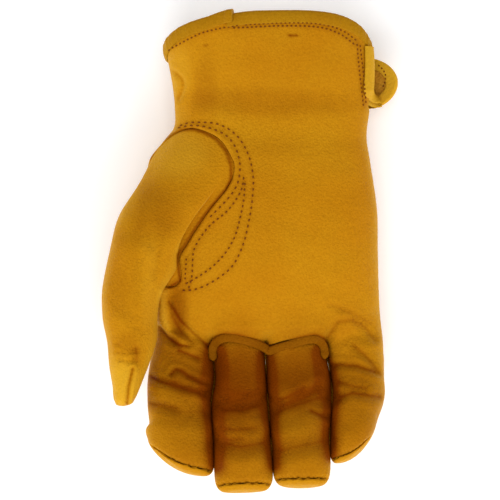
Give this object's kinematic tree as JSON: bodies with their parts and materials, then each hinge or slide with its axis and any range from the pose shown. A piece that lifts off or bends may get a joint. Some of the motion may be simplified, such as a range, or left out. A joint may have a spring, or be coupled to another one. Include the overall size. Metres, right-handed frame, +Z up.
{
  "type": "work glove",
  "caption": "Unlined leather work glove for the right hand, palm up with curled fingers, hollow, with a set-in thumb, bound cuff and a rounded ear at the side vent.",
  "frame": {"origin": "a point of the flat patch of the back on which the glove lies, in the middle of the palm's width", "axes": "+Y along the hand towards the cuff, +Z up out of the palm, +X towards the little-finger side; the thumb is at -X and the fingertips are at -Y"},
  "size_m": [0.1451, 0.2331, 0.0586],
  "materials": {
    "leather": "smooth grain, satin",
    "leather_trim": "smooth grain, satin",
    "thread": "twisted sewing thread"
  },
  "bodies": {
    "root": {"palm": "leather", "middle_finger_front": "leather", "ring_finger_front": "leather", "back": "leather", "gusset_index_middle": "leather", "gusset_middle_ring": "leather", "gusset_ring_little": "leather", "thumb": "leather", "finger_base_welt": "leather_trim", "cuff_binding_thumb_side": "leather_trim", "cuff_binding_palm": "leather_trim", "vent_binding": "leather_trim", "ear_binding": "leather_trim"}
  },
  "joints": []
}
